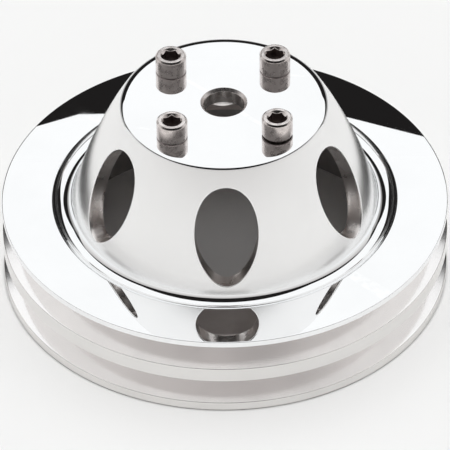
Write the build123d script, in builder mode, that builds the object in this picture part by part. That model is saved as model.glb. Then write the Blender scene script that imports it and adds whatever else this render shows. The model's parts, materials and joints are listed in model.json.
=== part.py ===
"""Two-groove V-belt pulley with a domed, windowed nose, and its four cap screws.

Frame: millimetres, +Z up along the bore from the rear rim to the nose face, origin at the
centre of the rear rim, which is the face that the pulley stands on. -Y is the front.
"""
import os
from math import cos, hypot, radians, sin, sqrt, tan

from build123d import *

# ---- rim ----
outside_d = 174.6           # over the lands, 6 7/8 in
front_land = 2.5            # band between the ring face and the front groove
middle_land = 6.0           # band between the two grooves
rear_land = 3.7             # band behind the rear groove
groove_width = 11.1         # across the mouth, 7/16 in
groove_angle = 36.0         # between the two walls of a groove
groove_depth = 11.5
groove_floor_radius = 1.2   # fillet at each side of the floor
rim_wall = 5.8              # from the groove floor in to the rear cavity
land_edge = 0.35            # rounding of every land's edges

# ---- nose ----
nose_height = 47.4          # nose face above the ring face
nose_face_d = 79.8          # where face and side would meet if the edge were sharp
nose_base_d = 119.2         # nose side where it reaches the level of the ring face
nose_bulge = 1.75           # how far the side arc stands out from its chord
nose_edge_radius = 2.0
plate_thickness = 6.35      # nose plate that the hub bolts to, 1/4 in
wall_thickness = 6.1        # nose side, square to its surface
inside_corner_radius = 3.0

# ---- turned relief channel between the nose and the ring face ----
relief_radius = 4.3
relief_depth = 2.6          # below the ring face
web_thickness = 6.4         # under the channel

# ---- windows through the nose side ----
window_count = 6
window_start_angle = -90.0
window_half_width = 12.2
window_low = 3.45           # lowest point above the ring face
window_high = 40.0          # highest point above the ring face
window_widest = 22.5        # level of the widest point above the ring face
window_side_pull = 0.55     # fullness towards the widest point, 0.55 on both is an ellipse
window_top_pull = 0.62      # fullness across the top
window_tip_pull = 0.46      # fullness across the narrow lower end
window_edge = 0.4           # rounding of the outer edge

# ---- bore and bolt holes ----
pilot_d = 15.9              # slides on a 5/8 in hub pilot
pilot_chamfer = 1.1
bolt_circle_d = 57.15       # 2 1/4 in
bolt_start_angle = 45.0
bolt_clearance = 0.23       # radial, between a shank and its hole
bolt_hole_chamfer = 0.4

# ---- 5/16 in socket head cap screw, 3/4 in long ----
screw_d = 7.94
screw_length = 19.05
neck_undercut = 0.35        # radial, the plain neck under the head is thinner than the thread
neck_past_plate = 1.0       # a seated screw's thread starts this far behind the nose plate
thread_start_chamfer = 0.25
head_d = 11.91
head_height = 7.94
head_top_chamfer = 0.7
head_foot_radius = 0.45
socket_across_flats = 6.35
socket_depth = 4.1
socket_mouth_d = 8.1
socket_drill_share = 0.5    # drill under the hexagon, as a share of its width across flats
tip_chamfer = 0.8
proud_gap = 0.7             # the front right screw isn't run all the way down

# quarter turns from the first bolt hole, turn of the hex socket, and height above the seat
screw_places = {
    "screw_back_right": (0, 30, 0),
    "screw_back_left": (1, 0, 0),
    "screw_front_left": (2, 30, 0),
    "screw_front_right": (3, 0, proud_gap),
}

# ---- worked out from the sizes above ----
outside_r = outside_d / 2
rim_width = front_land + middle_land + rear_land + 2 * groove_width
ring_z = rim_width
face_z = ring_z + nose_height
plate_z = face_z - plate_thickness
groove_floor_r = outside_r - groove_depth
groove_slope = groove_depth * tan(radians(groove_angle / 2))
cavity_r = groove_floor_r - rim_wall
web_z = ring_z - relief_depth - web_thickness
neck_length = plate_thickness + neck_past_plate

# circle that the nose side follows, from its two ends and its bulge
nose_top = Vector(nose_face_d / 2, face_z)
nose_foot = Vector(nose_base_d / 2, ring_z)
nose_chord = nose_foot - nose_top
nose_radius = nose_chord.length**2 / (8 * nose_bulge) + nose_bulge / 2
nose_out = Vector(-nose_chord.Y, nose_chord.X).normalized()
nose_centre = (nose_top + nose_foot) * 0.5 - nose_out * (nose_radius - nose_bulge)


def nose_side(z, inset=0.0):
    """Point on the nose side at height z, or on its inner surface with inset = wall_thickness."""
    radius = nose_radius - inset
    return nose_centre.X + sqrt(radius**2 - (z - nose_centre.Y) ** 2), z


# the relief channel is a circle that touches the nose side and opens at the ring face
relief_z = ring_z - relief_depth + relief_radius
relief_reach = nose_radius + relief_radius
relief_r = nose_centre.X + sqrt(relief_reach**2 - (relief_z - nose_centre.Y) ** 2)
relief_touch = nose_centre + (Vector(relief_r, relief_z) - nose_centre) * (nose_radius / relief_reach)
relief_floor = (relief_r, ring_z - relief_depth)
ring_inner_r = relief_r + sqrt(relief_radius**2 - (relief_z - ring_z) ** 2)


def groove_points(top_z):
    """One V groove, from its upper lip round its floor to its lower lip."""
    low_z = top_z - groove_width
    return [
        (outside_r, top_z),
        (groove_floor_r, top_z - groove_slope),
        (groove_floor_r, low_z + groove_slope),
        (outside_r, low_z),
    ]


front_groove_z = ring_z - front_land
rear_groove_z = front_groove_z - groove_width - middle_land
rim_points = [
    (ring_inner_r, ring_z),
    (outside_r, ring_z),
    *groove_points(front_groove_z),
    *groove_points(rear_groove_z),
    (outside_r, 0),
    (0, 0),
]


def corners(sketch, wanted):
    """Vertices of a sketch that lie on the wanted points."""
    return [v for v in sketch.vertices() if any(hypot(v.X - x, v.Y - y) < 1e-3 for x, y in wanted)]


with BuildPart() as pulley:
    # the outside, from the nose face down to the rear rim
    with BuildSketch(Plane.XZ) as outside:
        with BuildLine():
            Polyline((0, 0), (0, face_z), (nose_face_d / 2, face_z))
            side_middle = nose_side((face_z + relief_touch.Y) / 2)
            ThreePointArc((nose_face_d / 2, face_z), side_middle, (relief_touch.X, relief_touch.Y))
            ThreePointArc((relief_touch.X, relief_touch.Y), relief_floor, (ring_inner_r, ring_z))
            Polyline(*rim_points)
        make_face()
        lips = [p for p in rim_points if p[0] == outside_r]
        floors = [p for p in rim_points if p[0] == groove_floor_r]
        fillet(corners(outside, lips), land_edge)
        fillet(corners(outside, floors), groove_floor_radius)
        fillet(corners(outside, [(nose_face_d / 2, face_z)]), nose_edge_radius)
    revolve(axis=Axis.Z)

    # the rear cavity inside the rim
    with BuildSketch(Plane.XZ) as cavity:
        with Locations((cavity_r / 2, web_z / 2)):
            Rectangle(cavity_r, web_z)
        fillet(corners(cavity, [(cavity_r, web_z)]), inside_corner_radius)
    revolve(axis=Axis.Z, mode=Mode.SUBTRACT)

    # the bell under the nose plate, never wider than the cavity that leads to it
    with BuildSketch(Plane.XZ) as bell:
        with BuildLine():
            inside_foot = nose_side(web_z, wall_thickness)
            inside_middle = nose_side((plate_z + web_z) / 2, wall_thickness)
            inside_top = nose_side(plate_z, wall_thickness)
            Polyline(inside_top, (0, plate_z), (0, 0), (inside_foot[0], 0), inside_foot)
            ThreePointArc(inside_foot, inside_middle, inside_top)
        make_face()
        fillet(corners(bell, [inside_top]), inside_corner_radius)
        with Locations((cavity_r / 2, plate_z / 2)):
            Rectangle(cavity_r, plate_z, mode=Mode.INTERSECT)
    revolve(axis=Axis.Z, mode=Mode.SUBTRACT)

    # windows: one egg-shaped outline cut straight out from the axis at each place
    top, widest, low = (ring_z + h for h in (window_high, window_widest, window_low))
    upper_pull = window_side_pull * (top - widest)
    lower_pull = window_side_pull * (widest - low)
    side = window_half_width
    for i in range(window_count):
        turn = radians(window_start_angle + 360 / window_count * i)
        outward = Vector(cos(turn), sin(turn))
        across = Vector(-sin(turn), cos(turn))
        with BuildSketch(Plane((0, 0, 0), x_dir=across, z_dir=outward)):
            with BuildLine():
                Bezier((0, top), (side * window_top_pull, top), (side, widest + upper_pull), (side, widest))
                Bezier((side, widest), (side, widest - lower_pull), (side * window_tip_pull, low), (0, low))
                mirror(about=Plane.YZ)
            make_face()
        extrude(amount=outside_r, mode=Mode.SUBTRACT)
        cut_edges = pulley.edges(Select.LAST).filter_by(GeomType.BSPLINE)
        outer_edges = cut_edges.group_by(lambda e: round(hypot(e.center().X, e.center().Y)))[-1]
        fillet(outer_edges, window_edge)

    # pilot bore and bolt holes through the nose plate, each with a 45 degree mouth
    pilot_r = pilot_d / 2
    bolt_hole_r = screw_d / 2 + bolt_clearance
    bolt_mouth_r = bolt_hole_r + bolt_hole_chamfer
    drill_depth = 2 * plate_thickness
    with Locations((0, 0, face_z)):
        CounterSinkHole(pilot_r, pilot_r + pilot_chamfer, drill_depth, counter_sink_angle=90)
        with PolarLocations(bolt_circle_d / 2, len(screw_places), bolt_start_angle):
            CounterSinkHole(bolt_hole_r, bolt_mouth_r, drill_depth, counter_sink_angle=90)

pulley.part.label = "pulley"
parts = [pulley.part]

# screws, each standing in its bolt hole with its own turn of the hex socket
socket_corner_r = socket_across_flats / 2 / cos(radians(30))
socket_drill_r = socket_across_flats / 2 * socket_drill_share
for name, (quarter, hex_turn, lift) in screw_places.items():
    place = Vector(bolt_circle_d / 2, 0).rotate(Axis.Z, bolt_start_angle + 90 * quarter)
    seat = Plane(place + Vector(0, 0, face_z + lift))
    with BuildPart() as screw:
        with BuildSketch(seat):
            Circle(head_d / 2)
        extrude(amount=head_height)
        chamfer(screw.edges().group_by(Axis.Z)[-1], head_top_chamfer)
        fillet(screw.edges().group_by(Axis.Z)[0], head_foot_radius)
        with BuildSketch(seat):
            Circle(screw_d / 2 - neck_undercut)
        extrude(amount=-neck_length)
        with BuildSketch(seat.offset(-neck_length)):
            Circle(screw_d / 2)
        extrude(amount=neck_length - screw_length)
        thread_ends = screw.edges(Select.LAST).filter_by(GeomType.CIRCLE).group_by(Axis.Z)
        chamfer(thread_ends[-1].sort_by(SortBy.RADIUS)[-1], thread_start_chamfer)
        chamfer(screw.edges().group_by(Axis.Z)[0], tip_chamfer)
        with BuildSketch(seat.offset(head_height)):
            RegularPolygon(socket_corner_r, 6, rotation=hex_turn)
        extrude(amount=-socket_depth, mode=Mode.SUBTRACT)
        with Locations(seat.offset(head_height).origin):
            CounterSinkHole(socket_drill_r, socket_mouth_d / 2, socket_depth + socket_drill_r)
    screw.part.label = name
    parts.append(screw.part)

os.makedirs("parts", exist_ok=True)
for piece in parts:
    export_step(piece, f"parts/{piece.label}.step")
    print(piece.label, "volume", round(piece.volume), "valid", piece.is_valid)
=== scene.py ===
# %% [markdown]
# # A polished V-belt pulley and its four cap screws
# The object is one round piece of billet aluminium, turned, pierced with six windows and buffed
# to a mirror, with four steel socket head screws in its nose plate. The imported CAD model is
# loaded first. It fixes every size and place, and the finer meshes made here stand in its place.

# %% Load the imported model
import json
from math import asin, cos, degrees, pi, radians, sin, sqrt, tan

import bmesh
import bpy
import numpy as np
from mathutils import Matrix, Vector


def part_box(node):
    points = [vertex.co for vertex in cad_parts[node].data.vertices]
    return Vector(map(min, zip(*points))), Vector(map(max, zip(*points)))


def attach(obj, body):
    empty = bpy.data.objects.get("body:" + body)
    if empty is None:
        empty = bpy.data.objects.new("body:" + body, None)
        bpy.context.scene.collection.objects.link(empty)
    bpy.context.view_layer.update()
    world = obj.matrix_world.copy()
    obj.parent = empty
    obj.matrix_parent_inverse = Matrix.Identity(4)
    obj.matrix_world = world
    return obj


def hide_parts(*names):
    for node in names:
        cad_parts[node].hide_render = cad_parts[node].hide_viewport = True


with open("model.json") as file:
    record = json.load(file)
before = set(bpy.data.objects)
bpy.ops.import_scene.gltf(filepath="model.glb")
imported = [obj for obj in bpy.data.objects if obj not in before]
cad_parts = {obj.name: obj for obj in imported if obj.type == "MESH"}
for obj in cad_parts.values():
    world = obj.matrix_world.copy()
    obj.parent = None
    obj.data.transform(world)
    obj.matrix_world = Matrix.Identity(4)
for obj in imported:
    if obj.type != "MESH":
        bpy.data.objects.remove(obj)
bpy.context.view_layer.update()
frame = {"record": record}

mounts = {mount["name"]: mount for mount in frame["record"]["mounts"]}

# %% [markdown]
# ## Sizes
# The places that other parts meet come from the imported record: the plate, the pilot bore and
# the bolt circle. The other sizes are those of the CAD part, with a few of its edges rounded a
# little more. Everything is in metres, so a size in millimetres is written with MM.

# %% Driving sizes
MM = 0.001
FACE_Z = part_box("pulley")[1][2]
PLATE_Z = mounts["hub_seat"]["pos_m"][2]
PILOT_R = mounts["pilot_bore"]["dims"]["r_mm"] * MM
BOLT_CIRCLE_R = mounts["hub_studs"]["dims"]["pcd_mm"] / 2 * MM
SCREW_R = mounts["hub_studs"]["dims"]["stud_r_mm"] * MM

OUTSIDE_R = 87.3 * MM
NOSE_HEIGHT = 47.4 * MM
RING_Z = FACE_Z - NOSE_HEIGHT
FRONT_LAND, MIDDLE_LAND = 2.5 * MM, 6.0 * MM
GROOVE_WIDTH, GROOVE_DEPTH = 11.1 * MM, 11.5 * MM
GROOVE_ANGLE, GROOVE_FLOOR_EDGE = radians(36), 1.2 * MM
GROOVE_SLOPE = GROOVE_DEPTH * tan(GROOVE_ANGLE / 2)
GROOVE_FLOOR_R = OUTSIDE_R - GROOVE_DEPTH
RIM_WALL, WEB_THICKNESS, WALL = 5.8 * MM, 6.4 * MM, 6.1 * MM
CAVITY_R = GROOVE_FLOOR_R - RIM_WALL
RELIEF_R, RELIEF_DEPTH = 4.3 * MM, 2.6 * MM
WEB_Z = RING_Z - RELIEF_DEPTH - WEB_THICKNESS
NOSE_FACE_R, NOSE_BASE_R, NOSE_BULGE = 39.9 * MM, 59.6 * MM, 1.75 * MM
NOSE_EDGE_R = 2.0 * MM
INSIDE_CORNER_R = 3.0 * MM
PILOT_CHAMFER = 1.1 * MM
BOLT_CLEARANCE, BOLT_HOLE_CHAMFER = 0.23 * MM, 0.4 * MM
BOLT_HOLE_R = SCREW_R + BOLT_CLEARANCE
LAND_EDGE, RING_EDGE, TURNED_EDGE = 0.35 * MM, 0.2 * MM, 0.3 * MM

WINDOWS = 6
WINDOW_SIDE = 12.2 * MM
WINDOW_LOW, WINDOW_WIDEST, WINDOW_HIGH = (RING_Z + h * MM for h in (3.45, 22.5, 40.0))
WINDOW_TIP_PULL, WINDOW_SIDE_PULL, WINDOW_TOP_PULL = 0.46, 0.55, 0.62
WINDOW_EDGE, WINDOW_INNER_EDGE = 0.45 * MM, 0.25 * MM
STEPS_ROUND = 288
print("face", FACE_Z, "ring", RING_Z, "plate", PLATE_Z, "pilot radius", PILOT_R)

# %% [markdown]
# ## The nose side
# The side of the nose isn't a cone. It is an arc that leans in towards the face, so the windows,
# the relief channel and the inner wall all follow one circle. Its centre is worked out here from
# the arc's two ends and its bulge, and small functions give the radius at any height.

# %% The circle behind the nose side
nose_top, nose_foot = np.array([NOSE_FACE_R, FACE_Z]), np.array([NOSE_BASE_R, RING_Z])
chord = nose_foot - nose_top
chord_length = np.linalg.norm(chord)
NOSE_R = chord_length**2 / (8 * NOSE_BULGE) + NOSE_BULGE / 2
chord_normal = np.array([-chord[1], chord[0]]) / chord_length
NOSE_C = (nose_top + nose_foot) / 2 - chord_normal * (NOSE_R - NOSE_BULGE)


def circle_r(z, centre, radius):
    """Radius of a turned surface at height z, where its section is a circle."""
    return centre[0] + np.sqrt(np.maximum(radius**2 - (z - centre[1]) ** 2, 0))


def blend_circle(flat_z, radius, inset):
    """Circle that rounds a flat at flat_z into the nose side, and the height where it touches."""
    z = flat_z - radius
    reach = NOSE_R - inset - radius
    centre = np.array([circle_r(z, NOSE_C, reach), z])
    touch_z = NOSE_C[1] + (z - NOSE_C[1]) * (NOSE_R - inset) / reach
    return centre, touch_z


INSIDE_C, INSIDE_TOUCH_Z = blend_circle(PLATE_Z, INSIDE_CORNER_R, WALL)


def outer_r(z):
    return circle_r(z, NOSE_C, NOSE_R)


def inner_r(z):
    side = circle_r(z, NOSE_C, NOSE_R - WALL)
    corner = circle_r(z, INSIDE_C, INSIDE_CORNER_R)
    return np.where(z > INSIDE_TOUCH_Z, corner, side)


print("nose arc radius %.1f mm" % (NOSE_R / MM), "inside corner touches at", INSIDE_TOUCH_Z)

# %% [markdown]
# ## Helpers for node trees
# Geometry Nodes and shaders are both trees of nodes. Building them in a script is clearer with
# small helpers: one adds a node and plugs in its inputs, one adds a sum, one starts a Geometry
# Nodes tree with named inputs and one ends it, one joins parts, and one places a tree in another.

# %% Node helpers
def node(tree, kind, inputs=None, **settings):
    """Adds a node. An input is either another node's socket or a plain value."""
    made = tree.nodes.new(kind)
    for name, value in settings.items():
        setattr(made, name, value)
    for key, value in (inputs or {}).items():
        if isinstance(value, bpy.types.NodeSocket):
            tree.links.new(value, made.inputs[key])
        else:
            made.inputs[key].default_value = value
    return made


def calc(tree, operation, *values):
    return node(tree, "ShaderNodeMath", dict(enumerate(values)), operation=operation).outputs[0]


def new_tree(name, **inputs):
    """A Geometry Nodes tree with one geometry output, and its named inputs."""
    tree = bpy.data.node_groups.new(name, "GeometryNodeTree")
    tree.interface.new_socket("Geometry", in_out="OUTPUT", socket_type="NodeSocketGeometry")
    for label, kind in inputs.items():
        tree.interface.new_socket(label, in_out="INPUT", socket_type="NodeSocket" + kind)
    return tree, tree.nodes.new("NodeGroupInput").outputs


def finish_tree(tree, geometry):
    tree.links.new(geometry, tree.nodes.new("NodeGroupOutput").inputs[0])


def joined(tree, parts):
    join = tree.nodes.new("GeometryNodeJoinGeometry")
    for part in parts:
        tree.links.new(part, join.inputs[0])
    return join.outputs[0]


def use_tree(tree, other, **inputs):
    """Places one tree inside another as a group."""
    made = tree.nodes.new("GeometryNodeGroup")
    made.node_tree = other
    for key, value in inputs.items():
        if isinstance(value, bpy.types.NodeSocket):
            tree.links.new(value, made.inputs[key])
        else:
            made.inputs[key].default_value = value
    return made.outputs[0]


print("helpers ready")

# %% [markdown]
# ## A lathe made of nodes
# Nearly everything here was turned, so the first tool is a lathe. A section is a line of points
# in the plane y = 0. The tree makes a grid with one row for each point of the section and one
# column for each step round, moves every grid point to its section point turned about the axis,
# and welds the last column to the first. Spin would also work, but the tree can be reused with
# other sections, and it carries each point's finish on to the faces. A screw's socket needs one thing
# more: rows marked as socket never come closer to the axis than the sides of a hexagon.

# %% The lathe tree
SEAM_WELD = 0.002 * MM


def make_lathe():
    tree, value = new_tree("lathe", section="Object", steps="Int", flats="Float", turn="Float")
    line = node(tree, "GeometryNodeObjectInfo", {"Object": value["section"]}).outputs["Geometry"]
    count = node(tree, "GeometryNodeAttributeDomainSize", {"Geometry": line}).outputs["Point Count"]
    index = node(tree, "GeometryNodeInputIndex").outputs[0]

    def on_section(kind, field, row):
        picked = {"Geometry": line, "Value": field, "Index": row}
        return node(tree, "GeometryNodeSampleIndex", picked, data_type=kind).outputs[0]

    def mark(name, kind):
        return node(tree, "GeometryNodeInputNamedAttribute", {"Name": name}, data_type=kind).outputs[0]

    grid = node(tree, "GeometryNodeMeshGrid", {
        "Vertices X": calc(tree, "ADD", value["steps"], 1), "Vertices Y": count}).outputs["Mesh"]
    column = calc(tree, "FLOOR", calc(tree, "DIVIDE", index, count))
    row = calc(tree, "FLOORED_MODULO", index, count)
    angle = calc(tree, "MULTIPLY", calc(tree, "DIVIDE", column, value["steps"]), 2 * pi)
    place = node(tree, "ShaderNodeSeparateXYZ", {
        0: on_section("FLOAT_VECTOR", node(tree, "GeometryNodeInputPosition").outputs[0], row)})
    # distance to the side of a hexagon in this direction
    sixth = calc(tree, "FLOORED_MODULO", calc(tree, "SUBTRACT", angle, value["turn"]), pi / 3)
    side = calc(tree, "COSINE", calc(tree, "SUBTRACT", sixth, pi / 6))
    reach = calc(tree, "DIVIDE", calc(tree, "MULTIPLY", value["flats"], 0.5), side)
    held = calc(tree, "MULTIPLY", reach, on_section("FLOAT", mark("socket", "FLOAT"), row))
    radius = calc(tree, "MAXIMUM", place.outputs[0], held)
    flat = node(tree, "ShaderNodeCombineXYZ", {"X": radius, "Z": place.outputs[2]}).outputs[0]
    turned = node(tree, "ShaderNodeVectorRotate", {"Vector": flat, "Angle": angle},
                  rotation_type="Z_AXIS").outputs[0]
    shell = node(tree, "GeometryNodeSetPosition", {"Geometry": grid, "Position": turned}).outputs[0]
    face_row = calc(tree, "FLOORED_MODULO", index, calc(tree, "SUBTRACT", count, 1))
    stored = node(tree, "GeometryNodeStoreNamedAttribute", {
        "Geometry": shell, "Name": "finish",
        "Value": on_section("INT", mark("finish", "INT"), face_row)}, data_type="INT", domain="FACE")
    finish_tree(tree, node(tree, "GeometryNodeMergeByDistance", {
        "Geometry": stored.outputs[0], "Distance": SEAM_WELD}).outputs[0])
    return tree


lathe = make_lathe()
print("lathe nodes", len(lathe.nodes))

# %% [markdown]
# A section is written as a list of corners: radius, height, how far the corner is rounded, the
# finish of the face that follows, and in a screw's socket a mark. Even a sharp machined edge is
# rounded a little, because that thin bright line is what makes an edge look real. A support point
# on each side of a rounded corner keeps the flats next to it truly flat, as a mirror needs.

# %% Section helpers
# The inside and the bell are one machined aluminium in two colours: a dark one, painted shade, for the
# hollows, and a light one, painted light, for the upper inside of the bell
POLISHED, GROOVE, INSIDE_PAINTED_SHADE, MILLED, SATIN, BELL_PAINTED_LIGHT, LAND = range(7)
SUPPORT = 0.15 * MM
DEGREES_A_STEP = 12
section_objects = []


def soften(corners):
    """Points (r, z, finish, socket) of a section line with its corners rounded."""
    points = []
    for i, (r, z, radius, finish, *socket) in enumerate(corners):
        mark = socket[0] if socket else 0
        here = np.array([r, z])
        if not radius:
            points.append((r, z, finish, mark))
            continue
        ways = [np.array(corners[j][:2]) - here for j in (i - 1, i + 1)]
        ways = [way / np.linalg.norm(way) for way in ways]
        half = np.arccos(np.clip(ways[0] @ ways[1], -1, 1)) / 2
        reach, middle = radius / tan(half), ways[0] + ways[1]
        centre = here + middle / np.linalg.norm(middle) * radius / sin(half)
        first, last = (here + way * reach - centre for way in ways)
        before = corners[i - 1][3]
        points.append((*(here + ways[0] * (reach + SUPPORT)), before, mark))
        turn = pi - 2 * half
        steps = max(3, round(degrees(turn) / DEGREES_A_STEP))
        for k in range(steps + 1):
            a = turn * k / steps
            offset = (first * sin(turn - a) + last * sin(a)) / sin(turn)
            points.append((*(centre + offset), finish, mark))
        points.append((*(here + ways[1] * (reach + SUPPORT)), finish, mark))
    return points


def section(name, corners):
    """A section line as an object that the lathe tree can read."""
    points = soften(corners)
    mesh = bpy.data.meshes.new(name)
    mesh.from_pydata([(r, 0, z) for r, z, _, _ in points], [(i, i + 1) for i in range(len(points) - 1)], [])
    mesh.attributes.new("finish", "INT", "POINT").data.foreach_set("value", [p[2] for p in points])
    mesh.attributes.new("socket", "FLOAT", "POINT").data.foreach_set("value", [float(p[3]) for p in points])
    made = bpy.data.objects.new(name, mesh)
    bpy.context.collection.objects.link(made)
    section_objects.append(made)
    print(name, "has", len(points), "points")
    return made


# %% [markdown]
# ## The turned sections of the pulley
# Five sections make the pulley: the long one from the foot of the nose round the rim and up inside, the
# nose edge, the inside corner, the pilot bore and one bolt hole. The flat face next to the
# nose edge isn't quite flat. Buffing rolls it off by less than a tenth of a millimetre, and in
# a mirror that shows as a dark line round the face.

# %% Long section
PANEL_LOW, PANEL_HIGH = RING_Z + 1.2 * MM, FACE_Z - 2.3 * MM
INNER_LOW, INNER_HIGH = RING_Z + 1.0 * MM, PLATE_Z - 0.5 * MM
RELIEF_STEPS, SIDE_POINTS = 18, 4

relief_z = RING_Z - RELIEF_DEPTH + RELIEF_R
relief_c = np.array([circle_r(relief_z, NOSE_C, NOSE_R + RELIEF_R), relief_z])
relief_touch = NOSE_C + (relief_c - NOSE_C) * NOSE_R / (NOSE_R + RELIEF_R)
ring_inner_r = relief_c[0] + sqrt(RELIEF_R**2 - (relief_z - RING_Z) ** 2)
start = np.arctan2(*(relief_touch - relief_c)[::-1]) % (2 * pi) - 2 * pi
end = np.arctan2(RING_Z - relief_z, ring_inner_r - relief_c[0])

outside = [(outer_r(z), z, 0, SATIN) for z in np.linspace(PANEL_LOW, relief_touch[1], SIDE_POINTS)]
for a in np.linspace(start, end, RELIEF_STEPS + 1)[1:-1]:
    outside.append((relief_c[0] + RELIEF_R * cos(a), relief_c[1] + RELIEF_R * sin(a), 0, POLISHED))
outside.append((ring_inner_r, RING_Z, RING_EDGE, POLISHED))
outside.append((OUTSIDE_R, RING_Z, LAND_EDGE, POLISHED))
for top in (RING_Z - FRONT_LAND, RING_Z - FRONT_LAND - GROOVE_WIDTH - MIDDLE_LAND):
    outside += [
        (OUTSIDE_R, top, LAND_EDGE, GROOVE),
        (GROOVE_FLOOR_R, top - GROOVE_SLOPE, GROOVE_FLOOR_EDGE, GROOVE),
        (GROOVE_FLOOR_R, top - GROOVE_WIDTH + GROOVE_SLOPE, GROOVE_FLOOR_EDGE, GROOVE),
        (OUTSIDE_R, top - GROOVE_WIDTH, LAND_EDGE, LAND),
    ]
inside_foot_r = float(inner_r(WEB_Z))
# from the rim's underside on, the faces take the inside finish, whose dark colour is painted shade for the
# cavity, the web and the lower inside wall
outside += [
    (OUTSIDE_R, 0, LAND_EDGE, INSIDE_PAINTED_SHADE),
    (CAVITY_R, 0, TURNED_EDGE, INSIDE_PAINTED_SHADE),
    (CAVITY_R, WEB_Z, INSIDE_CORNER_R, INSIDE_PAINTED_SHADE),
    (inside_foot_r, WEB_Z, TURNED_EDGE, INSIDE_PAINTED_SHADE),
]
outside += [(float(inner_r(z)), z, 0, INSIDE_PAINTED_SHADE) for z in np.linspace(WEB_Z + 2 * MM, INNER_LOW, SIDE_POINTS)]
outside_section = section("outside_section", outside)

# %% Nose edge, inside corner, bore and bolt hole
ROLL_OFF, ROLL_WIDTH, ROLL_STEPS = 0.066 * MM, 1.5 * MM, 7
EDGE_END, EDGE_POINTS, CORNER_POINTS = radians(85), 12, 6
EDGE_C, EDGE_TOUCH_Z = blend_circle(FACE_Z - ROLL_OFF, NOSE_EDGE_R, 0)
edge_start = asin((EDGE_TOUCH_Z - EDGE_C[1]) / NOSE_EDGE_R)
edge = [(outer_r(z), z, 0, SATIN) for z in np.linspace(PANEL_HIGH, EDGE_TOUCH_Z, 3)[:-1]]
for a in np.linspace(edge_start, EDGE_END, EDGE_POINTS):
    edge.append((EDGE_C[0] + NOSE_EDGE_R * cos(a), EDGE_C[1] + NOSE_EDGE_R * sin(a), 0, POLISHED))
roll_r, roll_z = edge[-1][:2]
for k in np.linspace(0, 1, ROLL_STEPS + 1)[1:]:
    drop = (FACE_Z - roll_z) * (1 - k) ** 2
    edge.append((roll_r - ROLL_WIDTH * k, FACE_Z - drop, 0, POLISHED))
FACE_FLAT_R = edge[-1][0] - SUPPORT
edge.append((FACE_FLAT_R, FACE_Z, 0, POLISHED))
edge_section = section("edge_section", edge)

corner_start = asin((INNER_HIGH - INSIDE_C[1]) / INSIDE_CORNER_R)
corner = []
for a in np.linspace(corner_start, pi / 2, CORNER_POINTS):
    corner.append((INSIDE_C[0] + INSIDE_CORNER_R * cos(a), INSIDE_C[1] + INSIDE_CORNER_R * sin(a), 0, BELL_PAINTED_LIGHT))
PLATE_FLAT_R = INSIDE_C[0] - SUPPORT
corner.append((PLATE_FLAT_R, PLATE_Z, 0, BELL_PAINTED_LIGHT))
corner_section = section("corner_section", corner)

HOLE_MARGIN, HOLE_EDGE, HOLE_FOOT_EDGE = 0.4 * MM, 0.1 * MM, 0.12 * MM


def hole(name, radius, chamfer):
    """Section of a hole through the nose plate, with a 45 degree mouth."""
    return section(name, [
        (radius + chamfer + HOLE_MARGIN, FACE_Z, 0, POLISHED),
        (radius + chamfer, FACE_Z, HOLE_EDGE, MILLED),
        (radius, FACE_Z - chamfer, HOLE_EDGE, MILLED),
        # the hole's wall below its mouth takes the dark inside finish: painted shade
        (radius, PLATE_Z, HOLE_FOOT_EDGE, INSIDE_PAINTED_SHADE),
        (radius + HOLE_MARGIN, PLATE_Z, 0, INSIDE_PAINTED_SHADE),
    ])


bore_section = hole("bore_section", PILOT_R, PILOT_CHAMFER)
bolt_section = hole("bolt_section", BOLT_HOLE_R, BOLT_HOLE_CHAMFER)

# %% [markdown]
# ## One panel of the nose, with its window
# A boolean would leave long thin triangles round each window, and a mirror shows every one of
# them. So one sixth of the nose is built as a tube of rows instead. It starts on the panel's outer
# border, closes in on the window, rounds the edge, goes through the wall, and opens out to the inner
# border. The window is cut straight through, so all of its wall runs the same way, outwards
# through the middle of the panel.

# %% The window's outline
def bezier(points, count):
    t = np.linspace(0, 1, count)[:-1, None]
    p = [np.array(point) for point in points]
    return (1 - t) ** 3 * p[0] + 3 * t * (1 - t) ** 2 * p[1] + 3 * t**2 * (1 - t) * p[2] + t**3 * p[3]


def window_outline(count=400):
    """Half of the outline from the low tip up the right side to the top, then mirrored."""
    up, down = WINDOW_HIGH - WINDOW_WIDEST, WINDOW_WIDEST - WINDOW_LOW
    widest = (WINDOW_SIDE, WINDOW_WIDEST)
    lower = bezier([(0, WINDOW_LOW), (WINDOW_SIDE * WINDOW_TIP_PULL, WINDOW_LOW),
                    (WINDOW_SIDE, WINDOW_WIDEST - WINDOW_SIDE_PULL * down), widest], count)
    upper = bezier([widest, (WINDOW_SIDE, WINDOW_WIDEST + WINDOW_SIDE_PULL * up),
                    (WINDOW_SIDE * WINDOW_TOP_PULL, WINDOW_HIGH), (0, WINDOW_HIGH)], count)
    half = np.vstack([lower, upper])
    other = np.vstack([[0, WINDOW_HIGH], half[:0:-1] * [-1, 1]])
    return np.vstack([half, other])


def border(low, high, columns, rows):
    """Angle and height of the points round a panel's border, anticlockwise from its low left."""
    half = pi / WINDOWS
    across, up = np.linspace(-half, half, columns + 1), np.linspace(low, high, rows + 1)
    return np.vstack([
        np.column_stack([across[:-1], np.full(columns, low)]),
        np.column_stack([np.full(rows, half), up[:-1]]),
        np.column_stack([across[:0:-1], np.full(columns, high)]),
        np.column_stack([np.full(rows, -half), up[:0:-1]]),
    ])


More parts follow.
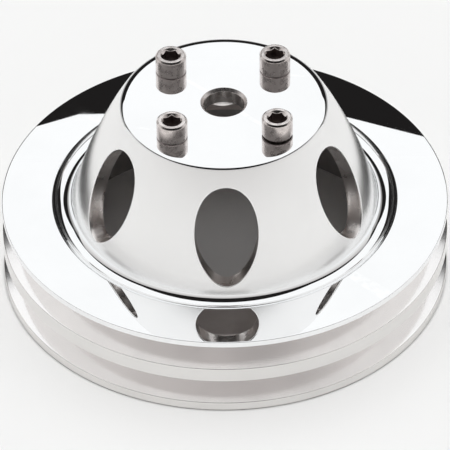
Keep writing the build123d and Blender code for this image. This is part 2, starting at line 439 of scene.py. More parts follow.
def outline_to_match(edge_points, low, high):
    """The outline's points in the same directions from the middle as the border's points."""
    outline = window_outline()
    middle, tall = (WINDOW_LOW + WINDOW_HIGH) / 2, (WINDOW_HIGH - WINDOW_LOW) / 2
    facing = np.arctan2((outline[:, 1] - middle) / tall, outline[:, 0] / WINDOW_SIDE)
    wanted = np.arctan2((edge_points[:, 1] - (low + high) / 2) / ((high - low) / 2),
                        edge_points[:, 0] / (pi / WINDOWS))
    order = np.argsort(facing)
    u = np.interp(wanted, facing[order], outline[order, 0], period=2 * pi)
    z = np.interp(wanted, facing[order], outline[order, 1], period=2 * pi)
    return np.column_stack([u, z])


print("outline points", len(window_outline()))


# %% Rows of the panel
def on_skin(u, z, skin):
    """Point on a turned skin straight in front of (u, z)."""
    r = skin(z)
    return np.column_stack([u, -np.sqrt(r**2 - u**2), z])


def unit(v):
    return v / np.linalg.norm(v, axis=1, keepdims=True)


def rounded_edge(outline, skin, radius, inward, steps):
    """Rows that round the corner between a skin and the window's wall, from the skin to the wall."""
    u, z = outline[:, 0], outline[:, 1]
    at = on_skin(u, z, skin)
    hair = 0.01 * MM
    slope = (skin(z + hair) - skin(z - hair)) / (2 * hair)
    normal = unit(np.column_stack([at[:, 0], at[:, 1], -slope * skin(z)]))
    tangent = np.roll(outline, -1, axis=0) - np.roll(outline, 1, axis=0)
    away = unit(np.column_stack([tangent[:, 1], np.zeros(len(u)), -tangent[:, 0]]))
    into = np.tile([0.0, inward, 0.0], (len(u), 1))
    lean = (away * normal).sum(1, keepdims=True) / (into * normal).sum(1, keepdims=True)
    along = unit(away - into * lean)
    half = np.arccos(np.clip((along * into).sum(1, keepdims=True), -1, 1)) / 2
    reach = radius / np.tan(half)
    centre = at + unit(along + into) * radius / np.sin(half)
    first, last = at + along * reach - centre, at + into * reach - centre
    turn = pi - 2 * half
    rows = []
    for k in range(steps + 1):
        a = turn * k / steps
        rows.append(centre + (first * np.sin(turn - a) + last * np.sin(a)) / np.sin(turn))
    return rows


def skin_rows(edge_row, edge_points, skin, rows, crowd):
    """Rows over a skin, from the border in to the window's rounded edge."""
    theta = np.arctan2(edge_row[:, 0], -edge_row[:, 1])
    made = []
    for t in np.linspace(1, 0, rows + 1)[:-1] ** crowd:
        angle = theta + (edge_points[:, 0] - theta) * t
        z = edge_row[:, 2] + (edge_points[:, 1] - edge_row[:, 2]) * t
        r = skin(z)
        made.append(np.column_stack([r * np.sin(angle), -r * np.cos(angle), z]))
    return made


COLUMNS, SIDE_ROWS = STEPS_ROUND // WINDOWS, 28
OUTER_ROWS, OUTER_CROWD, INNER_ROWS, INNER_CROWD = 14, 1.25, 9, 1.2
OUTER_EDGE_STEPS, WALL_STEPS, INNER_EDGE_STEPS = 5, 4, 3
outer_border = border(PANEL_LOW, PANEL_HIGH, COLUMNS, SIDE_ROWS)
inner_border = border(INNER_LOW, INNER_HIGH, COLUMNS, SIDE_ROWS)
outline = outline_to_match(outer_border, PANEL_LOW, PANEL_HIGH)
outer_edge = rounded_edge(outline, outer_r, WINDOW_EDGE, 1.0, OUTER_EDGE_STEPS)
inner_edge = rounded_edge(outline, inner_r, WINDOW_INNER_EDGE, -1.0, INNER_EDGE_STEPS)
wall_depth = inner_edge[-1] - outer_edge[-1]
wall = [outer_edge[-1] + wall_depth * t for t in np.linspace(0, 1, WALL_STEPS + 1)[1:-1]]
outer_skin = skin_rows(outer_edge[0], outer_border, outer_r, OUTER_ROWS, OUTER_CROWD)
inner_skin = skin_rows(inner_edge[0], inner_border, inner_r, INNER_ROWS, INNER_CROWD)
panel_rows = outer_skin + outer_edge + wall + inner_edge[::-1] + inner_skin[::-1]
# the inner skin takes the bell finish, whose lighter colour is painted light
panel_finish = ([SATIN] * (OUTER_ROWS + OUTER_EDGE_STEPS) + [MILLED] * (WALL_STEPS + INNER_EDGE_STEPS)
                + [BELL_PAINTED_LIGHT] * INNER_ROWS)
print("rows", len(outer_skin), len(outer_edge), len(wall), len(inner_edge), len(inner_skin))

# %% The panel's mesh
round_count = len(outline)
panel_faces, face_finish = [], []
for row in range(len(panel_rows) - 1):
    for k in range(round_count):
        a, b = row * round_count + k, row * round_count + (k + 1) % round_count
        panel_faces.append((a, b, b + round_count, a + round_count))
        face_finish.append(panel_finish[row])
panel_mesh = bpy.data.meshes.new("window_panel")
panel_mesh.from_pydata(np.vstack(panel_rows).tolist(), [], panel_faces)
panel_mesh.attributes.new("finish", "INT", "FACE").data.foreach_set("value", face_finish)
window_panel = bpy.data.objects.new("window_panel", panel_mesh)
bpy.context.collection.objects.link(window_panel)
section_objects.append(window_panel)
print("panel faces", len(panel_faces), "rows", len(panel_rows))

# %% [markdown]
# ## Putting the pulley together
# The flat nose face and the underside of the plate are discs with holes, which Fill Curve makes
# from circles that have the same number of points as the lathed parts they meet. Then one tree joins the
# lathed sections, six turned copies of the panel, four bolt holes and the two discs, makes the
# copies real, welds everything into one closed shell, and gives each face its material.

# %% Discs with holes
BORE_STEPS, BOLT_STEPS = 96, 64
BOLTS, FIRST_BOLT = 4, pi / 4


def on_bolt_circle(tree, thing):
    """Four copies of a thing on the bolt circle, the first at 45 degrees."""
    circle = node(tree, "GeometryNodeMeshCircle", {"Vertices": BOLTS, "Radius": BOLT_CIRCLE_R}).outputs[0]
    turned = node(tree, "GeometryNodeTransform", {"Geometry": circle, "Rotation": (0, 0, FIRST_BOLT)})
    return node(tree, "GeometryNodeInstanceOnPoints", {
        "Points": turned.outputs[0], "Instance": thing}).outputs[0]


def make_disc():
    tree, value = new_tree("holed_disc", rim="Float", bore="Float", bolt="Float", height="Float",
                           finish="Int")

    def circle(steps, radius):
        return node(tree, "GeometryNodeCurvePrimitiveCircle", {
            "Resolution": steps, "Radius": radius}).outputs[0]

    curves = joined(tree, [circle(STEPS_ROUND, value["rim"]), circle(BORE_STEPS, value["bore"]),
                           on_bolt_circle(tree, circle(BOLT_STEPS, value["bolt"]))])
    real = node(tree, "GeometryNodeRealizeInstances", {"Geometry": curves}).outputs[0]
    filled = node(tree, "GeometryNodeFillCurve", {"Curve": real}).outputs[0]
    lift = node(tree, "ShaderNodeCombineXYZ", {"Z": value["height"]}).outputs[0]
    lifted = node(tree, "GeometryNodeTransform", {"Geometry": filled, "Translation": lift}).outputs[0]
    finish_tree(tree, node(tree, "GeometryNodeStoreNamedAttribute", {
        "Geometry": lifted, "Name": "finish", "Value": value["finish"]},
        data_type="INT", domain="FACE").outputs[0])
    return tree


disc = make_disc()
print("disc nodes", len(disc.nodes))


# %% The pulley's tree
PULLEY_WELD, SLIVER, SHARP_ANGLE = 0.004 * MM, 0.001 * MM, radians(24)
ON_ARC, PANEL_MARGIN = 0.003 * MM, 0.01 * MM


def set_finishes(tree, geometry, materials):
    """Gives each finish its material. The tree's last nodes."""
    finish = node(tree, "GeometryNodeInputNamedAttribute", {"Name": "finish"}, data_type="INT").outputs[0]
    for number, material in materials.items():
        chosen = node(tree, "FunctionNodeCompare", {2: finish, 3: number}, data_type="INT",
                      operation="EQUAL").outputs[0]
        geometry = node(tree, "GeometryNodeSetMaterial", {
            "Geometry": geometry, "Selection": chosen, "Material": material}).outputs[0]
    return geometry


def make_pulley_tree(materials):
    tree, value = new_tree("pulley", outside="Object", edge="Object", corner="Object", bore="Object",
                           bolt="Object", panel="Object", steps="Int")
    turned = [use_tree(tree, lathe, section=value[name], steps=value["steps"])
              for name in ("outside", "edge", "corner")]
    bore = use_tree(tree, lathe, section=value["bore"], steps=BORE_STEPS)
    bolts = on_bolt_circle(tree, use_tree(tree, lathe, section=value["bolt"], steps=BOLT_STEPS))
    face = use_tree(tree, disc, rim=FACE_FLAT_R, bore=PILOT_R + PILOT_CHAMFER + HOLE_MARGIN,
                    bolt=BOLT_HOLE_R + BOLT_HOLE_CHAMFER + HOLE_MARGIN, height=FACE_Z, finish=POLISHED)
    under = use_tree(tree, disc, rim=PLATE_FLAT_R, bore=PILOT_R + HOLE_MARGIN,
                     bolt=BOLT_HOLE_R + HOLE_MARGIN, height=PLATE_Z, finish=BELL_PAINTED_LIGHT)
    panel = node(tree, "GeometryNodeObjectInfo", {"Object": value["panel"]}).outputs["Geometry"]
    sixths = node(tree, "GeometryNodePoints", {"Count": WINDOWS, "Position": (0, 0, 0)}).outputs[0]
    turn = calc(tree, "MULTIPLY", node(tree, "GeometryNodeInputIndex").outputs[0], 2 * pi / WINDOWS)
    panels = node(tree, "GeometryNodeInstanceOnPoints", {
        "Points": sixths, "Instance": panel,
        "Rotation": node(tree, "ShaderNodeCombineXYZ", {"Z": turn}).outputs[0]}).outputs[0]
    whole = joined(tree, [*turned, bore, bolts, face, under, panels])
    real = node(tree, "GeometryNodeRealizeInstances", {"Geometry": whole}).outputs[0]
    welded = node(tree, "GeometryNodeMergeByDistance", {
        "Geometry": real, "Distance": PULLEY_WELD}).outputs[0]
    smooth = node(tree, "GeometryNodeSetShadeSmooth", {"Geometry": welded}).outputs[0]
    finish_tree(tree, set_finishes(tree, smooth, materials))
    return tree


def nose_normals(mesh):
    """Gives the nose side the exact normals of its arc, so that no row of the mesh shows in it."""
    points = np.empty(len(mesh.vertices) * 3)
    mesh.vertices.foreach_get("co", points)
    x, y, z = points.reshape(-1, 3).T
    r = np.hypot(x, y)
    in_panel = (z > PANEL_LOW - PANEL_MARGIN) & (z < PANEL_HIGH + PANEL_MARGIN)
    on_arc = (abs(r - outer_r(z)) < ON_ARC) & in_panel
    lean = np.column_stack([(r - NOSE_C[0]) * x / r, (r - NOSE_C[0]) * y / r, z - NOSE_C[1]]) / NOSE_R
    loops = np.zeros((len(mesh.loops), 3))
    for face in mesh.polygons:
        if all(on_arc[v] for v in face.vertices):
            for loop in face.loop_indices:
                loops[loop] = lean[mesh.loops[loop].vertex_index]
    mesh.normals_split_custom_set(loops.tolist())
    print("exact normals on", int((abs(loops).sum(1) > 0).sum()), "face corners")


def realise(name, tree, true_normals=None, **values):
    """Runs a tree on a new object and keeps its result as a plain, closed mesh."""
    piece = bpy.data.objects.new(name, bpy.data.meshes.new(name))
    bpy.context.collection.objects.link(piece)
    modifier = piece.modifiers.new("made by nodes", "NODES")
    modifier.node_group = tree
    for socket in tree.interface.items_tree:
        if socket.in_out == "INPUT":
            modifier[socket.identifier] = values[socket.name]
    bpy.context.view_layer.update()
    evaluated = piece.evaluated_get(bpy.context.evaluated_depsgraph_get())
    mesh = bpy.data.meshes.new_from_object(evaluated)
    piece.modifiers.clear()
    piece.data = mesh
    work = bmesh.new()
    work.from_mesh(mesh)
    bmesh.ops.dissolve_degenerate(work, edges=work.edges, dist=SLIVER)
    bmesh.ops.recalc_face_normals(work, faces=work.faces)
    open_edges = sum(1 for e in work.edges if len(e.link_faces) != 2)
    work.to_mesh(mesh)
    work.free()
    mesh.set_sharp_from_angle(angle=SHARP_ANGLE)
    if true_normals:
        true_normals(mesh)
    triangles = sum(len(p.vertices) - 2 for p in mesh.polygons)
    print(name, triangles, "triangles,", open_edges, "open edges")
    return piece


# %% [markdown]
# ## Screws
# A socket head cap screw is a lathed head and neck, a socket cut by the lathe's hexagon rule,
# and a thread. The thread is a grid wound round the shank below the neck: each row follows the
# helix, so crests stay sharp, and rows past either end close up on the neck and the tip.

# %% Screw sizes and sections
PITCH = 25.4 / 24 * MM
SCREW_LENGTH, HEAD_R, HEAD_HEIGHT = 19.05 * MM, 5.955 * MM, 7.94 * MM
UNDERCUT, TIP_CHAMFER, NECK_PAST_PLATE = 0.35 * MM, 0.8 * MM, 1.0 * MM
NECK_R, TIP_R = SCREW_R - UNDERCUT, SCREW_R - TIP_CHAMFER
NECK_LENGTH = FACE_Z - PLATE_Z + NECK_PAST_PLATE
HEAD_CHAMFER, HEAD_EDGE, HEAD_FOOT_EDGE, NECK_EDGE = 0.7 * MM, 0.25 * MM, 0.45 * MM, 0.1 * MM
SOCKET_FLATS, SOCKET_DEPTH, MOUTH_R, DRILL_R = 6.35 * MM, 4.1 * MM, 4.05 * MM, 1.5875 * MM
MOUTH_ANGLE, MOUTH_EDGE, MOUTH_PAINTED_HIGHLIGHT = radians(41), 0.06 * MM, 0.88 * MM
CONE_LOW, CONE_HIGH, CONE_ROWS = 1.0 * MM, 0.3 * MM, 12
SCREW_STEPS, SCREW_WELD, THREAD_DEPTH = 72, 0.003 * MM, 0.6 * PITCH
# The top's steel is lighter than the side: a painted highlight on the top face, the chamfer and the top of
# the mouth
STEEL, DARK_STEEL_PAINTED_SHADE, THREAD_STEEL, TOP_STEEL_PAINTED_HIGHLIGHT = range(4)

floor_z = HEAD_HEIGHT - SOCKET_DEPTH
# The socket's rows, the lower part of its mouth and the head's foot fillet take a dark steel: painted shade
# in the socket and a painted dark line round the foot
head = [
    (0, floor_z - DRILL_R, 0, DARK_STEEL_PAINTED_SHADE),
    (DRILL_R, floor_z - DRILL_R, 0, DARK_STEEL_PAINTED_SHADE),
    (DRILL_R, floor_z, 0, DARK_STEEL_PAINTED_SHADE),
    (0, floor_z, 0, DARK_STEEL_PAINTED_SHADE, 1),
    (0, floor_z + 1 * MM, 0, DARK_STEEL_PAINTED_SHADE, 1),
    (0, floor_z + 2 * MM, 0, DARK_STEEL_PAINTED_SHADE, 1),
]
# the mouth's cone in fine rows, with a painted highlight near the top
for t in np.linspace(CONE_LOW, CONE_HIGH, CONE_ROWS):
    steel = TOP_STEEL_PAINTED_HIGHLIGHT if t < MOUTH_PAINTED_HIGHLIGHT else DARK_STEEL_PAINTED_SHADE
    head.append((MOUTH_R - t, HEAD_HEIGHT - t / tan(MOUTH_ANGLE), 0, steel, 1))
head += [
    (MOUTH_R, HEAD_HEIGHT, MOUTH_EDGE, TOP_STEEL_PAINTED_HIGHLIGHT),
    (HEAD_R - HEAD_CHAMFER, HEAD_HEIGHT, HEAD_EDGE, TOP_STEEL_PAINTED_HIGHLIGHT),
    (HEAD_R, HEAD_HEIGHT - HEAD_CHAMFER, HEAD_EDGE, STEEL),
    # the foot's fillet takes the dark steel, a painted dark line where the head meets the face
    (HEAD_R, 0, HEAD_FOOT_EDGE, DARK_STEEL_PAINTED_SHADE),
    (NECK_R, 0, NECK_EDGE, STEEL),
    (NECK_R, -NECK_LENGTH, 0, STEEL),
]
head_section = section("head_section", head)
tip_section = section("tip_section", [(TIP_R, -SCREW_LENGTH, 0, STEEL), (0, -SCREW_LENGTH, 0, STEEL)])


# %% The thread tree
ROWS_A_TURN, FLANK, HAIR = 8, 2.4, 1e-6


def make_thread():
    tree, value = new_tree("thread", steps="Int", top="Float", bottom="Float", pitch="Float",
                           crest="Float", root="Float", neck="Float", tip="Float")
    length = calc(tree, "SUBTRACT", value["top"], value["bottom"])
    turns = calc(tree, "ADD", calc(tree, "CEIL", calc(tree, "DIVIDE", length, value["pitch"])), 2)
    rows = calc(tree, "ADD", calc(tree, "MULTIPLY", turns, ROWS_A_TURN), 1)
    grid = node(tree, "GeometryNodeMeshGrid", {
        "Vertices X": calc(tree, "ADD", value["steps"], 1), "Vertices Y": rows}).outputs["Mesh"]
    index = node(tree, "GeometryNodeInputIndex").outputs[0]
    column = calc(tree, "FLOOR", calc(tree, "DIVIDE", index, rows))
    row = calc(tree, "FLOORED_MODULO", index, rows)
    share = calc(tree, "DIVIDE", column, value["steps"])
    # turns down from the top, less the share of a turn that this column has gone round
    down = calc(tree, "SUBTRACT", calc(tree, "DIVIDE", row, ROWS_A_TURN), share)
    z_free = calc(tree, "SUBTRACT", value["top"], calc(tree, "MULTIPLY", down, value["pitch"]))
    z_low = calc(tree, "MAXIMUM", z_free, value["bottom"])
    z = calc(tree, "MINIMUM", z_low, value["top"])
    # a V of about 70 degrees with a flat crest
    wave = calc(tree, "PINGPONG", calc(tree, "DIVIDE", row, ROWS_A_TURN), 0.5)
    rise = calc(tree, "MINIMUM", calc(tree, "MULTIPLY", wave, FLANK), 1)
    deep = calc(tree, "SUBTRACT", value["crest"], value["root"])
    ridge = calc(tree, "ADD", value["root"], calc(tree, "MULTIPLY", rise, deep))
    from_tip = calc(tree, "ADD", value["tip"], calc(tree, "SUBTRACT", z, value["bottom"]))
    from_neck = calc(tree, "ADD", value["neck"], calc(tree, "SUBTRACT", value["top"], z))
    radius = calc(tree, "MINIMUM", calc(tree, "MINIMUM", ridge, from_tip), from_neck)
    at_top = calc(tree, "GREATER_THAN", z_free, calc(tree, "SUBTRACT", value["top"], HAIR))
    at_bottom = calc(tree, "LESS_THAN", z_free, calc(tree, "ADD", value["bottom"], HAIR))
    top_mix = node(tree, "ShaderNodeMix", {"Factor": at_top, "A": radius, "B": value["neck"]}).outputs[0]
    end_mix = node(tree, "ShaderNodeMix", {"Factor": at_bottom, "A": top_mix, "B": value["tip"]}).outputs[0]
    flat = node(tree, "ShaderNodeCombineXYZ", {"X": end_mix, "Z": z}).outputs[0]
    turned = node(tree, "ShaderNodeVectorRotate", {
        "Vector": flat, "Angle": calc(tree, "MULTIPLY", share, 2 * pi)}, rotation_type="Z_AXIS").outputs[0]
    shell = node(tree, "GeometryNodeSetPosition", {"Geometry": grid, "Position": turned}).outputs[0]
    finish_tree(tree, node(tree, "GeometryNodeStoreNamedAttribute", {
        "Geometry": shell, "Name": "finish", "Value": THREAD_STEEL},
        data_type="INT", domain="FACE").outputs[0])
    return tree


thread = make_thread()
print("thread nodes", len(thread.nodes))


# %% The screw's tree
def make_screw_tree(materials):
    tree, value = new_tree("cap_screw", head="Object", tip="Object", place="Vector", hex_turn="Float")
    parts = [
        use_tree(tree, lathe, section=value["head"], steps=SCREW_STEPS, flats=SOCKET_FLATS,
                 turn=value["hex_turn"]),
        use_tree(tree, lathe, section=value["tip"], steps=SCREW_STEPS),
        use_tree(tree, thread, steps=SCREW_STEPS, top=-NECK_LENGTH, bottom=-SCREW_LENGTH, pitch=PITCH,
                 crest=SCREW_R, root=SCREW_R - THREAD_DEPTH, neck=NECK_R, tip=TIP_R),
    ]
    real = node(tree, "GeometryNodeRealizeInstances", {"Geometry": joined(tree, parts)}).outputs[0]
    welded = node(tree, "GeometryNodeMergeByDistance", {
        "Geometry": real, "Distance": SCREW_WELD}).outputs[0]
    placed = node(tree, "GeometryNodeTransform", {"Geometry": welded, "Translation": value["place"]})
    smooth = node(tree, "GeometryNodeSetShadeSmooth", {"Geometry": placed.outputs[0]}).outputs[0]
    finish_tree(tree, set_finishes(tree, smooth, materials))
    return tree


# %% [markdown]
# ## Finishes
# Polished metal is almost all reflection, so its material is mostly about how the reflection
# is spoilt: a buffing wheel leaves lines that run round the part, the surface between them waves
# by a fraction of a micron on the mirror faces and by a few microns where it was only milled, and
# hands leave faint patches. Those effects are shader groups, and each metal uses them with its
# own values. Heights are in metres, so the depth of a line is a real depth.

# %% Shader groups
def new_group(name, inputs, outputs):
    tree = bpy.data.node_groups.new(name, "ShaderNodeTree")
    for label, default in inputs.items():
        made = tree.interface.new_socket(label, in_out="INPUT", socket_type="NodeSocketFloat")
        made.default_value = default
    for label in outputs:
        tree.interface.new_socket(label, in_out="OUTPUT", socket_type="NodeSocketFloat")
    place = node(tree, "ShaderNodeTexCoord").outputs["Object"]
    return tree, tree.nodes.new("NodeGroupInput").outputs, tree.nodes.new("NodeGroupOutput").inputs, place


def noise(tree, place, scale, detail=2.0):
    return node(tree, "ShaderNodeTexNoise", {"Vector": place, "Scale": scale, "Detail": detail}).outputs[0]


def make_turned_lines():
    """Lines that run round the axis at (centre_x, centre_y), uneven and broken here and there."""
    tree, value, out, place = new_group("turned_lines", {
        "spacing": 0.0003, "depth": 1e-7, "centre_x": 0.0, "centre_y": 0.0}, ["Height"])
    xyz = node(tree, "ShaderNodeSeparateXYZ", {0: place}).outputs
    x = calc(tree, "SUBTRACT", xyz[0], value["centre_x"])
    y = calc(tree, "SUBTRACT", xyz[1], value["centre_y"])
    radius = calc(tree, "SQRT", calc(tree, "ADD", calc(tree, "MULTIPLY", x, x), calc(tree, "MULTIPLY", y, y)))
    rings = node(tree, "ShaderNodeCombineXYZ", {0: radius, 1: xyz[2]}).outputs[0]
    fine = noise(tree, rings, calc(tree, "DIVIDE", 1.0, value["spacing"]), 1.0)
    broken = noise(tree, place, 90.0)
    height = calc(tree, "MULTIPLY", calc(tree, "MULTIPLY", fine, broken), value["depth"])
    tree.links.new(height, out["Height"])
    return tree


def make_waves():
    """The slow unevenness that polishing by hand leaves, in two sizes."""
    tree, value, out, place = new_group("waves", {"size": 0.025, "height": 2e-6}, ["Height"])
    scale = calc(tree, "DIVIDE", 1.0, value["size"])
    finer, weaker = 3.3, 0.16
    slow = noise(tree, place, scale, 0.0)
    quick = calc(tree, "MULTIPLY", noise(tree, place, calc(tree, "MULTIPLY", scale, finer), 1.0), weaker)
    tree.links.new(calc(tree, "MULTIPLY", calc(tree, "ADD", slow, quick), value["height"]), out["Height"])
    return tree


def make_patches():
    """Faint smears and fine scratches, as a mask from 0 to 1."""
    tree, value, out, place = new_group("patches", {"size": 0.03, "scratches": 0.3}, ["Mask"])
    scale = calc(tree, "DIVIDE", 1.0, value["size"])
    cloud = noise(tree, place, scale, 5.0)
    smear_range, streak_range = {1: 0.42, 2: 0.72}, {1: 0.70, 2: 0.78}
    streak_turns, streak_scale = (0.5, 1.9, 4.0), (25, 25, 1600)
    total = node(tree, "ShaderNodeMapRange", {0: cloud, **smear_range}).outputs[0]
    for turn in streak_turns:
        turned = node(tree, "ShaderNodeMapping", {
            "Vector": place, "Rotation": (turn, turn * 1.7, turn * 0.6), "Scale": streak_scale}).outputs[0]
        thin = noise(tree, turned, 1.0, 3.0)
        streak = node(tree, "ShaderNodeMapRange", {0: thin, **streak_range}).outputs[0]
        total = calc(tree, "ADD", total, calc(tree, "MULTIPLY", streak, value["scratches"]))
    tree.links.new(calc(tree, "MINIMUM", total, 1.0), out["Mask"])
    return tree


def make_edges():
    """Where an outer edge has been rubbed, from how sharply the surface turns."""
    tree, value, out, place = new_group("rubbed_edges", {"start": 0.52, "full": 0.60}, ["Mask"])
    sharp = node(tree, "ShaderNodeNewGeometry").outputs["Pointiness"]
    mask = node(tree, "ShaderNodeMapRange", {0: sharp, 1: value["start"], 2: value["full"]}).outputs[0]
    speckle = noise(tree, place, 300.0, 3.0)
    broken = node(tree, "ShaderNodeMapRange", {0: speckle, 1: 0.35, 2: 0.65}).outputs[0]
    tree.links.new(calc(tree, "MULTIPLY", mask, broken), out["Mask"])
    return tree


turned_lines, waves, patches, edges = make_turned_lines(), make_waves(), make_patches(), make_edges()
print("shader groups", [g.name for g in bpy.data.node_groups if g.bl_idname == "ShaderNodeTree"])


# %% A metal with those effects
def use_group(tree, group, **inputs):
    made = tree.nodes.new("ShaderNodeGroup")
    made.node_tree = group
    for key, value in inputs.items():
        made.inputs[key].default_value = value
    return made.outputs[0]


def blend(tree, share, first, second):
    """A colour that goes from the first to the second as share goes from 0 to 1."""
    return node(tree, "ShaderNodeMix", {0: share, 6: first, 7: second}, data_type="RGBA").outputs[2]


RUBBED_BRIGHTER, WAVE_SIZE = 1.06, 0.025


def metal(name, clean, dull, smooth, rough, lines, wave, patch_size=0.03, scratches=0.3,
          rubbed_rough=0.06, centre=(0, 0)):
    """clean and dull are colours, smooth and rough the roughness there. lines is the spacing and
    depth of the turned lines, and wave the height of the slow unevenness."""
    material = bpy.data.materials.new(name)
    material.use_nodes = True
    tree = material.node_tree
    shader = tree.nodes["Principled BSDF"]
    shader.inputs["Metallic"].default_value = 1.0
    mask = use_group(tree, patches, size=patch_size, scratches=scratches)
    rubbed = use_group(tree, edges)
    colour = blend(tree, mask, (*clean, 1), (*dull, 1))
    bright = tuple(min(1.0, c * RUBBED_BRIGHTER) for c in clean)
    worn = blend(tree, rubbed, colour, (*bright, 1))
    tree.links.new(worn, shader.inputs["Base Color"])
    spread = node(tree, "ShaderNodeMapRange", {0: mask, 3: smooth, 4: rough}).outputs[0]
    edge_rough = calc(tree, "ADD", spread, calc(tree, "MULTIPLY", rubbed, rubbed_rough))
    tree.links.new(edge_rough, shader.inputs["Roughness"])
    fine = use_group(tree, turned_lines, spacing=lines[0], depth=lines[1],
                     centre_x=centre[0], centre_y=centre[1])
    height = calc(tree, "ADD", fine, use_group(tree, waves, size=WAVE_SIZE, height=wave))
    bump = node(tree, "ShaderNodeBump", {"Strength": 1.0, "Distance": 1.0, "Height": height})
    tree.links.new(bump.outputs[0], shader.inputs["Normal"])
    print(name, "roughness", smooth, "to", rough)
    return material


pulley_materials = {
    POLISHED: metal("mirror_polished_aluminium", (0.925, 0.93, 0.935), (0.90, 0.905, 0.91), 0.004, 0.010,
                    (0.0004, 3e-8), 1.5e-7, scratches=0.1, rubbed_rough=0.005),
    SATIN: metal("satin_polished_aluminium", (0.925, 0.92, 0.915), (0.905, 0.90, 0.895), 0.24, 0.265,
                 (0.0005, 6e-8), 6e-7, scratches=0.1),
    GROOVE: metal("polished_groove_aluminium", (0.92, 0.905, 0.90), (0.88, 0.865, 0.86), 0.10, 0.18,
                  (0.00035, 1.2e-7), 1e-6),
    # darker than any other aluminium here: painted shade for the hollows under the plate and in the holes
    INSIDE_PAINTED_SHADE: metal("machined_aluminium_painted_shade", (0.50, 0.485, 0.48), (0.40, 0.39, 0.385), 0.26, 0.40,
                  (0.0006, 2.5e-6), 2e-6, patch_size=0.012),
    LAND: metal("land_aluminium", (0.80, 0.785, 0.77), (0.76, 0.745, 0.73), 0.05, 0.09,
                (0.0004, 1e-7), 6e-7),
    # lighter and warmer than the inside finish: painted light on the upper inside of the bell, where the
    # windows let light in
    BELL_PAINTED_LIGHT: metal("bell_aluminium_painted_light", (0.86, 0.79, 0.76), (0.76, 0.69, 0.66), 0.45, 0.58,
                (0.0006, 2.5e-6), 2e-6, patch_size=0.012),
    MILLED: metal("milled_window_aluminium", (0.86, 0.82, 0.80), (0.76, 0.72, 0.70), 0.24, 0.36,
                  (0.0008, 8e-7), 3e-6, patch_size=0.008),
}

# %% [markdown]
# ## Making the pieces
# The pulley's tree runs once. The screw's tree runs four times, with a place and a turn of
# the hexagon for each screw. One of them stands a little proud, because its node is higher.

# %% Make the pulley
pulley = realise("polished_pulley", make_pulley_tree(pulley_materials), nose_normals,
                 outside=outside_section, edge=edge_section, corner=corner_section,
                 bore=bore_section, bolt=bolt_section, panel=window_panel, steps=STEPS_ROUND)
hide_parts("pulley")
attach(pulley, "pulley")

# %% Make the screws
HEX_TURNS = {"screw_back_right": 30, "screw_back_left": 0, "screw_front_left": 30, "screw_front_right": 0}
for name, hex_turn in HEX_TURNS.items():
    low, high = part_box(name)
    place = ((low[0] + high[0]) / 2, (low[1] + high[1]) / 2, high[2] - HEAD_HEIGHT)
    screw_materials = {
        STEEL: metal(name + "_steel", (0.75, 0.685, 0.66), (0.62, 0.56, 0.54), 0.24, 0.38,
                     (0.00022, 5e-7), 6e-7, patch_size=0.003, scratches=0.4, centre=place[:2]),
        # lighter than the side: a painted highlight on the top face, the chamfer and the top of the mouth;
        # its lower roughness is real polish
        TOP_STEEL_PAINTED_HIGHLIGHT: metal(name + "_top", (0.86, 0.81, 0.79), (0.66, 0.60, 0.58), 0.14, 0.26,
                         (0.00022, 5e-7), 6e-7, patch_size=0.003, scratches=0.4, centre=place[:2]),
        # dark steel: painted shade in the socket and at the head's foot
        DARK_STEEL_PAINTED_SHADE: metal(name + "_socket", (0.36, 0.31, 0.30), (0.20, 0.17, 0.165), 0.28, 0.45,
                            (0.0005, 1e-6), 1e-6, patch_size=0.003, centre=place[:2]),
        THREAD_STEEL: metal(name + "_thread", (0.50, 0.48, 0.47), (0.36, 0.35, 0.34), 0.22, 0.38,
                            (0.0002, 6e-7), 1e-6, patch_size=0.003, centre=place[:2]),
    }
    screw = realise(name + "_piece", make_screw_tree(screw_materials), head=head_section,
                    tip=tip_section, place=place, hex_turn=radians(hex_turn))
    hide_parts(name)
    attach(screw, name)

for made in section_objects:
    bpy.data.objects.remove(made)

# %% [markdown]
# ## Floor and light
# A mirror shows the room rather than itself, so the light is a room: a big white card that leans
# over the part from behind, a curved pale wall in front that fades towards its top, a lower and
# darker wall behind, and darkness between that wall and the card. The card's lower edge draws the
# line across the ring where white turns to black. The card and the walls don't show to the camera
# and cast no shadow. One more light, which mirrors don't show, brightens the floor, and a small
# black flag over the nose keeps that light out of the bell.

# %% Floor
def plain_material(name, colour, roughness):
    material = bpy.data.materials.new(name)
    material.use_nodes = True
    shader = material.node_tree.nodes["Principled BSDF"]
    shader.inputs["Base Color"].default_value = (*colour, 1)
    shader.inputs["Roughness"].default_value = roughness
    return material


def sheet(name, corners, faces=None):
    mesh = bpy.data.meshes.new(name)
    mesh.from_pydata(corners, [], faces or [tuple(range(len(corners)))])
    made = bpy.data.objects.new(name, mesh)
    bpy.context.collection.objects.link(made)
    return made


FLOOR = 6
floor = sheet("floor", [(-FLOOR, -FLOOR, 0), (FLOOR, -FLOOR, 0), (FLOOR, FLOOR, 0), (-FLOOR, FLOOR, 0)])
floor.data.materials.append(plain_material("pale_floor", (0.82, 0.82, 0.815), 0.6))
print("floor", 2 * FLOOR, "m wide")


# %% Cards
FADE_FROM = 0.5


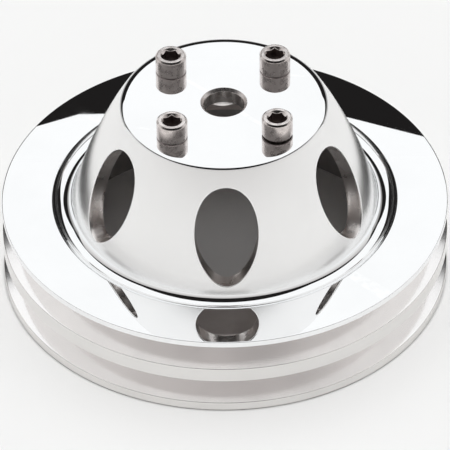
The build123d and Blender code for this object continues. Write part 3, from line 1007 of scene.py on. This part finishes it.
def card(name, corners, brightness, tint=(1.0, 1.0, 1.0), faces=None, faded=None):
    """A glowing card. With faded, its colour fades to that towards its top."""
    made = sheet(name, corners, faces)
    made.visible_camera = made.visible_shadow = False
    material = bpy.data.materials.new(name + "_glow")
    material.use_nodes = True
    shader = material.node_tree.nodes["Principled BSDF"]
    shader.inputs["Base Color"].default_value = (0, 0, 0, 1)
    shader.inputs["Emission Color"].default_value = (*tint, 1)
    shader.inputs["Emission Strength"].default_value = brightness
    if faded:
        tree = material.node_tree
        height = node(tree, "ShaderNodeSeparateXYZ", {0: node(tree, "ShaderNodeTexCoord").outputs["Object"]})
        top = corners[-1][2]
        share = node(tree, "ShaderNodeMapRange", {0: height.outputs[2], 1: FADE_FROM, 2: top}).outputs[0]
        fade = blend(tree, share, (*tint, 1), (*faded, 1))
        tree.links.new(fade, shader.inputs["Emission Color"])
    made.data.materials.append(material)
    print(name, "brightness", brightness)
    return made


# the card's lower edge hangs a little lower across its middle
BACK_Y, CARD_LOW, CARD_TOP, FRONT_Y, CARD_SIDE = 1.746, 1.40, 2.55, -0.62, 2.0
lower_edge = [(-CARD_SIDE, 0.05), (-0.22, 0.045), (-0.09, 0), (0.09, 0), (0.22, 0.045), (CARD_SIDE, 0.05)]
card("key_card", [*[(x, BACK_Y, CARD_LOW + rise) for x, rise in lower_edge],
                  (CARD_SIDE, FRONT_Y, CARD_TOP), (-CARD_SIDE, FRONT_Y, CARD_TOP)], 1.03, (0.985, 0.995, 1.0))
WALL_R, WALL_TOP, WALL_END, BACK_TOP = 2.9, 2.1, radians(118), 1.15


def curved_wall(name, start, end, top, steps, low, high):
    """A wall on a circle round the part, from one angle to another, that fades from low to high."""
    places = [(WALL_R * sin(a), -WALL_R * cos(a), z) for a in np.linspace(start, end, steps + 1)
              for z in (0.0, top)]
    faces = [(k, k + 2, k + 3, k + 1) for k in range(0, 2 * steps, 2)]
    return card(name, places, 1.0, low, faces, faded=high)


curved_wall("front_wall", -WALL_END, WALL_END, WALL_TOP, 48, (0.85, 0.85, 0.845), (0.50, 0.48, 0.475))
curved_wall("back_wall", WALL_END, 2 * pi - WALL_END, BACK_TOP, 24, (0.50, 0.495, 0.49), (0.22, 0.215, 0.21))

# %% Flag, the floor's light and the dark room
FLAG_R, FLAG_Z = 0.07, 0.16
flag_angles = np.linspace(0, 2 * pi, 48, endpoint=False)
flag = sheet("flag", [(FLAG_R * cos(a), FLAG_R * sin(a), FLAG_Z) for a in flag_angles])
flag.visible_camera = flag.visible_glossy = flag.visible_diffuse = False
flag.data.materials.append(plain_material("black_flag", (0.02, 0.02, 0.02), 0.8))

fill = bpy.data.objects.new("floor_fill", bpy.data.lights.new("floor_fill", "SUN"))
fill.data.energy = 1.8
fill.data.angle = radians(4)
fill.visible_glossy = False
bpy.context.collection.objects.link(fill)

world = bpy.data.worlds.new("dark_room")
bpy.context.scene.world = world
world.use_nodes = True
world.node_tree.nodes["Background"].inputs[0].default_value = (0.014, 0.013, 0.013, 1)
print("flag", FLAG_R, "at", FLAG_Z, "floor light", fill.data.energy)

# %% [markdown]
# ## Camera
# The part is seen from far away through a long lens, about 40 degrees above the floor and
# almost square on to the front window. It looks at a point a little below the ring's centre, and
# leans over by half a degree.

# %% Camera
DISTANCE, ELEVATION, SIDEWAYS = 28 * OUTSIDE_R, radians(39.66), radians(0.6)
AIM_BELOW, LEAN = radians(0.2615), radians(-0.55)
LENS, SENSOR = 499.6, 36.0
camera = bpy.data.objects.new("camera", bpy.data.cameras.new("camera"))
bpy.context.collection.objects.link(camera)
camera.data.lens = LENS
camera.data.sensor_width = SENSOR
camera.data.clip_end = 100.0
ring_centre = Vector((0, 0, RING_Z))
away = Vector((-sin(SIDEWAYS) * cos(ELEVATION), -cos(SIDEWAYS) * cos(ELEVATION), sin(ELEVATION)))
camera.location = ring_centre + away * DISTANCE
look = (-away).to_track_quat("-Z", "Y").to_matrix()
tilt = Matrix.Rotation(-AIM_BELOW, 3, "X") @ Matrix.Rotation(LEAN, 3, "Z")
camera.rotation_euler = (look @ tilt).to_euler()
bpy.context.scene.camera = camera
bpy.context.scene.view_settings.view_transform = "Standard"
print("camera at", camera.location)
